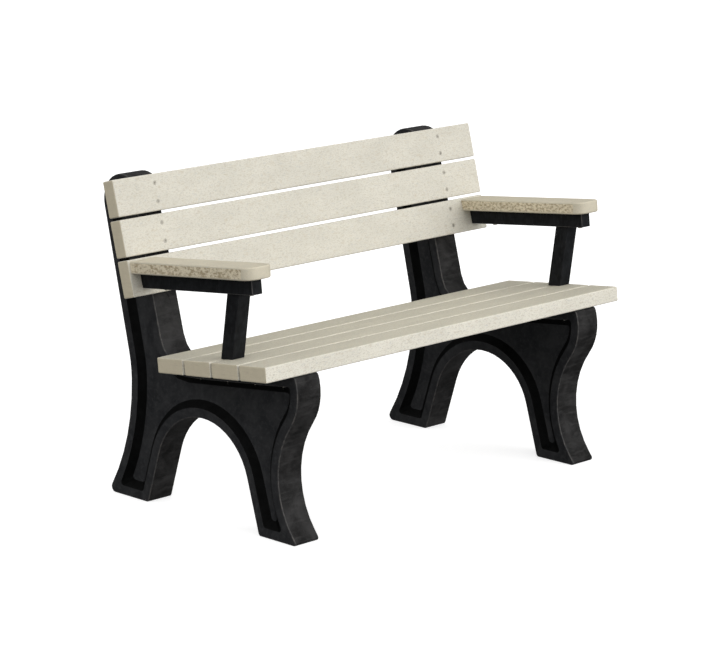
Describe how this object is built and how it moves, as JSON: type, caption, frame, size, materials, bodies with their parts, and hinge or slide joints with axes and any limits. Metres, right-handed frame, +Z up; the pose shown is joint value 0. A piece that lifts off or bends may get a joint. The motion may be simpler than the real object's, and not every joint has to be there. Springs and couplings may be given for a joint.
{
  "type": "park bench",
  "caption": "Park bench of speckled plastic lumber with a slatted seat and a leaning slatted back, black moulded end frames with arched legs, and flat arms on leaning posts.",
  "frame": {"origin": "on the floor, at the middle of the bounding box's base", "axes": "+X along the bench's length, -Y to the front where the sitter's legs go, +Z up"},
  "size_m": [1.219, 0.6642, 0.7959],
  "materials": {
    "lumber": "beige plastic lumber with fine grey and brown speckle, satin skin",
    "arm_lumber": "tan plastic lumber with coarse brown mottle on its sawn sides",
    "end_frame": "black moulded plastic, satin, slightly blotchy",
    "black_lumber": "black plastic lumber, satin",
    "screw": "dark coated screw"
  },
  "bodies": {
    "root": {"left_end_frame": "end_frame", "right_end_frame": "end_frame", "seat_plank_1": "lumber", "seat_plank_2": "lumber", "seat_plank_3": "lumber", "seat_plank_4": "lumber", "back_board_1": "lumber", "back_board_2": "lumber", "back_board_3": "lumber", "left_arm_board": "arm_lumber", "right_arm_board": "arm_lumber", "left_arm_rail": "black_lumber", "right_arm_rail": "black_lumber", "left_arm_post": "black_lumber", "right_arm_post": "black_lumber", "back_screw_left_1_low": "screw", "back_screw_left_1_high": "screw", "back_screw_left_2_low": "screw", "back_screw_left_2_high": "screw", "back_screw_left_3_low": "screw", "back_screw_left_3_high": "screw", "seat_screw_left_1_inner": "screw", "seat_screw_left_1_outer": "screw", "seat_screw_left_2_inner": "screw", "seat_screw_left_2_outer": "screw", "seat_screw_left_3_inner": "screw", "seat_screw_left_3_outer": "screw", "seat_screw_left_4_inner": "screw", "seat_screw_left_4_outer": "screw", "arm_board_screw_left_front": "screw", "arm_board_screw_left_rear": "screw", "post_top_screw_left": "screw", "post_foot_screw_left": "screw", "arm_back_screw_left_rail": "screw", "arm_back_screw_left_board": "screw", "back_screw_right_1_low": "screw", "back_screw_right_1_high": "screw", "back_screw_right_2_low": "screw", "back_screw_right_2_high": "screw", "back_screw_right_3_low": "screw", "back_screw_right_3_high": "screw", "seat_screw_right_1_inner": "screw", "seat_screw_right_1_outer": "screw", "seat_screw_right_2_inner": "screw", "seat_screw_right_2_outer": "screw", "seat_screw_right_3_inner": "screw", "seat_screw_right_3_outer": "screw", "seat_screw_right_4_inner": "screw", "seat_screw_right_4_outer": "screw", "arm_board_screw_right_front": "screw", "arm_board_screw_right_rear": "screw", "post_top_screw_right": "screw", "post_foot_screw_right": "screw", "arm_back_screw_right_rail": "screw", "arm_back_screw_right_board": "screw"}
  },
  "joints": []
}
